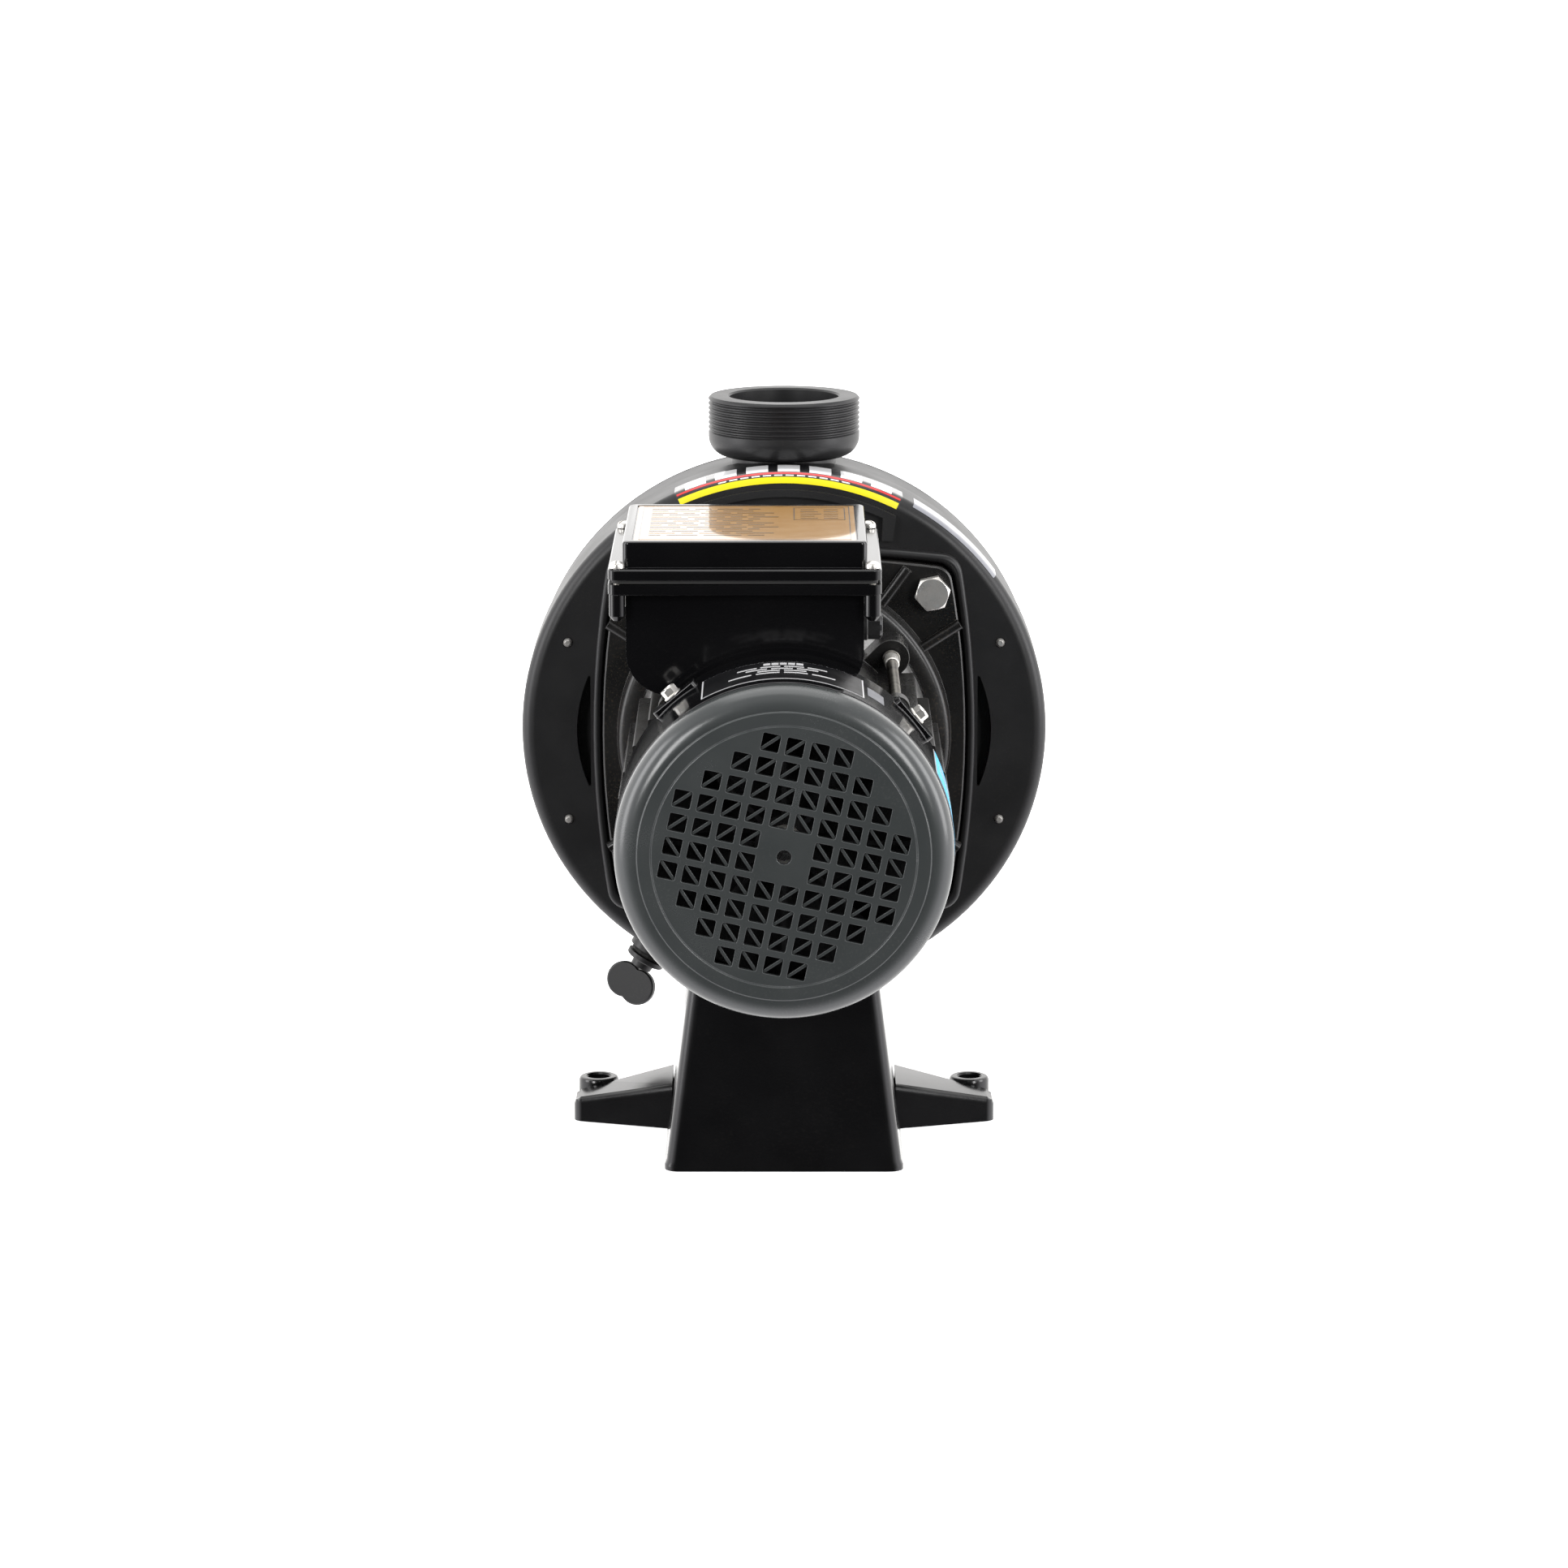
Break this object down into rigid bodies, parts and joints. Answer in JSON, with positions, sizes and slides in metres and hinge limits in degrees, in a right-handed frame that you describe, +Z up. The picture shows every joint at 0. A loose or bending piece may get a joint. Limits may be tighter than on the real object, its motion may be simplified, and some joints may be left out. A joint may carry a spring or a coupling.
{
  "type": "centrifugal water pump",
  "caption": "Close-coupled electric centrifugal pump: drum casing with upright threaded discharge, finned motor with slotted fan cap, terminal box and winged pedestal.",
  "frame": {"origin": "middle of the footprint of the whole pump, on the floor under the pedestal", "axes": "+Z up, -Y towards the motor's fan, +Y towards the suction port, +X to the right seen from the fan end; the shaft lies along Y"},
  "size_m": [0.2396, 0.384, 0.317],
  "materials": {
    "satin_black_plastic": "satin moulded plastic",
    "gloss_black": "high gloss",
    "black_casting": "satin paint on a casting",
    "dark_grey_plastic": "fine satin texture",
    "plain_aluminium": "machined",
    "bright_steel": "bright",
    "shaft_steel": "ground",
    "lamination_steel": "dull laminations",
    "winding_copper": "varnished copper wire",
    "black_rubber": "matte",
    "seal_ceramic": "lapped ceramic",
    "seal_carbon": "lapped carbon",
    "white_plastic": "satin",
    "grey_plastic": "satin"
  },
  "bodies": {
    "body": {"casing_rear": "satin_black_plastic", "casing_front": "satin_black_plastic", "casing_oring": "black_rubber", "casing_screw_1": "bright_steel", "casing_screw_2": "bright_steel", "casing_screw_3": "bright_steel", "casing_screw_4": "bright_steel", "motor_bracket": "black_casting", "bracket_bolt_1": "bright_steel", "bracket_bolt_2": "bright_steel", "bracket_bolt_3": "bright_steel", "bracket_bolt_4": "bright_steel", "motor_adapter": "plain_aluminium", "seal_plate": "satin_black_plastic", "seal_seat": "seal_ceramic", "diffuser": "grey_plastic", "motor_frame": "black_casting", "front_end_bell": "black_casting", "rear_end_bell": "black_casting", "tie_rod_1": "bright_steel", "tie_rod_2": "bright_steel", "tie_rod_3": "bright_steel", "tie_rod_4": "bright_steel", "stator_core": "lamination_steel", "stator_winding": "winding_copper", "wave_washer": "bright_steel", "front_bearing_outer": "shaft_steel", "rear_bearing_outer": "shaft_steel", "cowl_sleeve": "gloss_black", "fan_cap": "dark_grey_plastic", "cowl_screw_1": "bright_steel", "cowl_screw_2": "bright_steel", "cowl_screw_3": "bright_steel", "cowl_screw_4": "bright_steel", "terminal_box": "gloss_black", "box_gasket": "black_rubber", "box_lid": "gloss_black", "lid_screw_1": "bright_steel", "lid_screw_2": "bright_steel", "lid_screw_3": "bright_steel", "lid_screw_4": "bright_steel", "conduit_plug": "satin_black_plastic", "run_capacitor": "white_plastic", "terminal_block": "white_plastic", "base": "gloss_black"},
    "rotor": {"shaft": "shaft_steel", "rotor_core": "lamination_steel", "impeller": "grey_plastic", "impeller_nut": "bright_steel", "seal_head": "seal_carbon", "seal_spring": "bright_steel", "slinger": "black_rubber", "front_bearing_inner": "shaft_steel", "rear_bearing_inner": "shaft_steel", "cooling_fan": "grey_plastic", "fan_clip": "bright_steel"},
    "front_balls": {"front_bearing_balls": "bright_steel"},
    "rear_balls": {"rear_bearing_balls": "bright_steel"},
    "drain_ring": {"drain_oring": "black_rubber"},
    "drain_wing_plug": {"drain_plug": "satin_black_plastic"}
  },
  "joints": [
    {"name": "shaft_spin", "type": "hinge", "parent": "body", "child": "rotor", "pos_m": [0, 0, 0.169], "axis": [0, 1, 0], "continuous": true},
    {"name": "front_balls_spin", "type": "hinge", "parent": "body", "child": "front_balls", "pos_m": [0, 0.017, 0.169], "axis": [0, 1, 0], "continuous": true},
    {"name": "rear_balls_spin", "type": "hinge", "parent": "body", "child": "rear_balls", "pos_m": [0, -0.1265, 0.169], "axis": [0, 1, 0], "continuous": true},
    {"name": "drain_travel", "type": "slide", "parent": "body", "child": "drain_ring", "axis": [-0.5, 0, -0.866], "range_m": [0, 0.00988]},
    {"name": "drain_turn", "type": "hinge", "parent": "drain_ring", "child": "drain_wing_plug", "pos_m": [0, 0.097, 0.169], "axis": [-0.5, 0, -0.866], "range_deg": [0, 2523]}
  ],
  "couplings": [
    {"joint": "front_balls_spin", "follows": "shaft_spin", "ratio": 0.3789},
    {"joint": "rear_balls_spin", "follows": "shaft_spin", "ratio": 0.38},
    {"joint": "drain_turn", "follows": "drain_travel", "rad_per_m": 4456.3}
  ]
}
